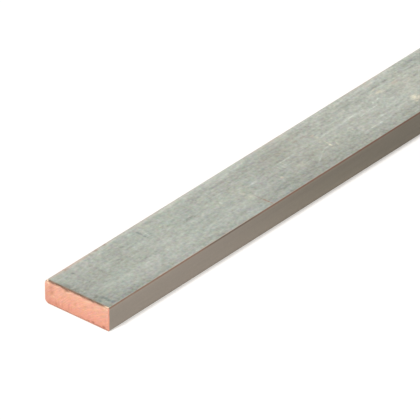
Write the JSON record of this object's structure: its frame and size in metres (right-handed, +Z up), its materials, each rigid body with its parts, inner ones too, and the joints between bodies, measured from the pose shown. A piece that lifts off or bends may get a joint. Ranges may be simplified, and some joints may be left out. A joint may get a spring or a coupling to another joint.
{
  "type": "tinned copper flat bar",
  "caption": "Flat bar of tin-plated copper with square sawn ends, crisp long edges in front and rounded ones behind. Stock for busbars, links and earth bars.",
  "frame": {"origin": "middle of the broad face that the bar lies on", "axes": "+X along the bar from one sawn end to the other, +Y across its width towards the narrow face with the rounded edges, +Z up through its thickness"},
  "size_m": [1, 0.03, 0.01],
  "materials": {
    "tinned_copper": "satin"
  },
  "bodies": {
    "root": {"flat_bar": "tinned_copper"}
  },
  "joints": []
}
